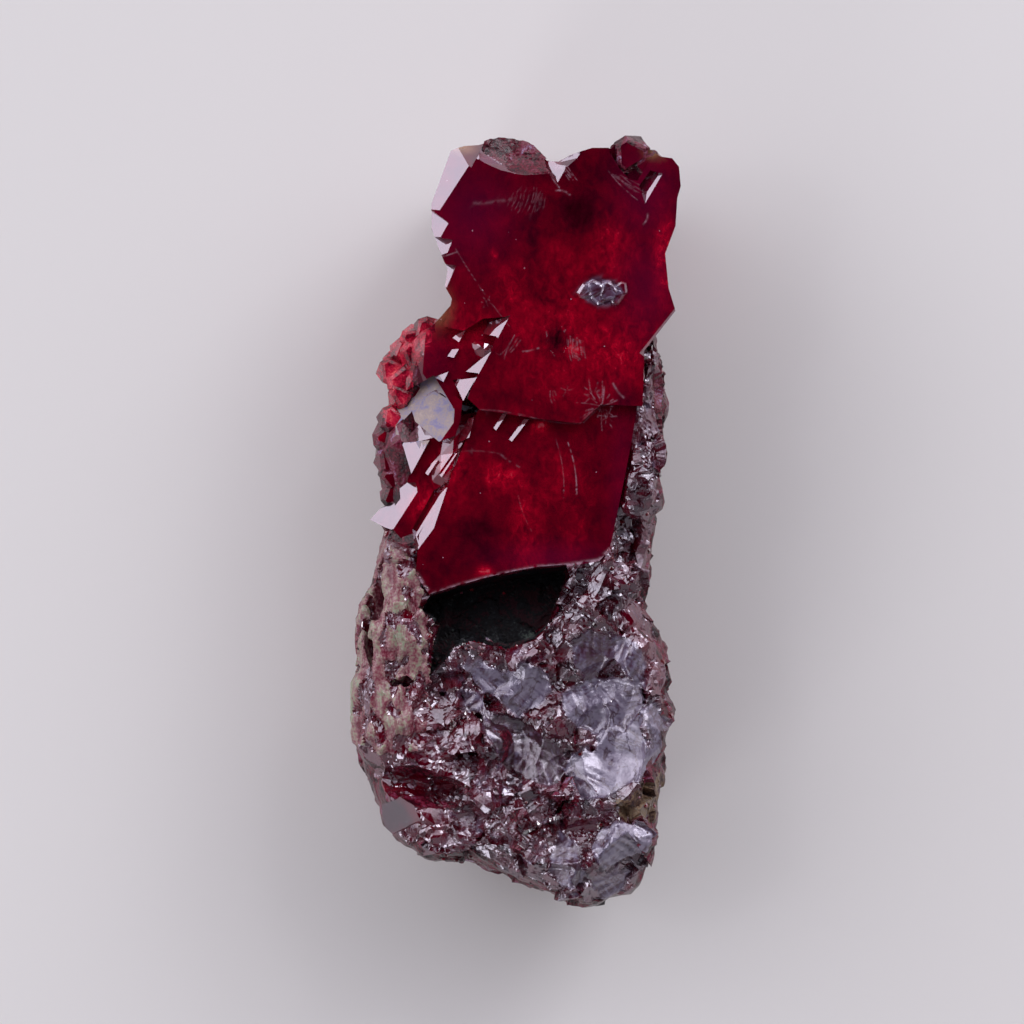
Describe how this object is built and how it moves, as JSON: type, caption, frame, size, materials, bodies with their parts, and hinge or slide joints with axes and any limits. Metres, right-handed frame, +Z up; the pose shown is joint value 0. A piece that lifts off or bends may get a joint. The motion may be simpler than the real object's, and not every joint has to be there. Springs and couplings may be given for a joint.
{
  "type": "cuprite specimen",
  "caption": "Deep red, clear cuprite crystal grown together with smaller crystals on a broken lead-grey root, lying on its back.",
  "frame": {"origin": "centre of the bounding box's underside, on the surface that the specimen lies on", "axes": "+Y along the specimen towards the clear crystal end, +Z up out of the face that shows, +X to the right seen from above"},
  "size_m": [0.0192, 0.045, 0.0132],
  "materials": {
    "cuprite": "clear deep red crystal with adamantine faces, lead-grey fractures and a pale crust"
  },
  "bodies": {
    "root": {"cuprite_crystal": "cuprite"}
  },
  "joints": []
}
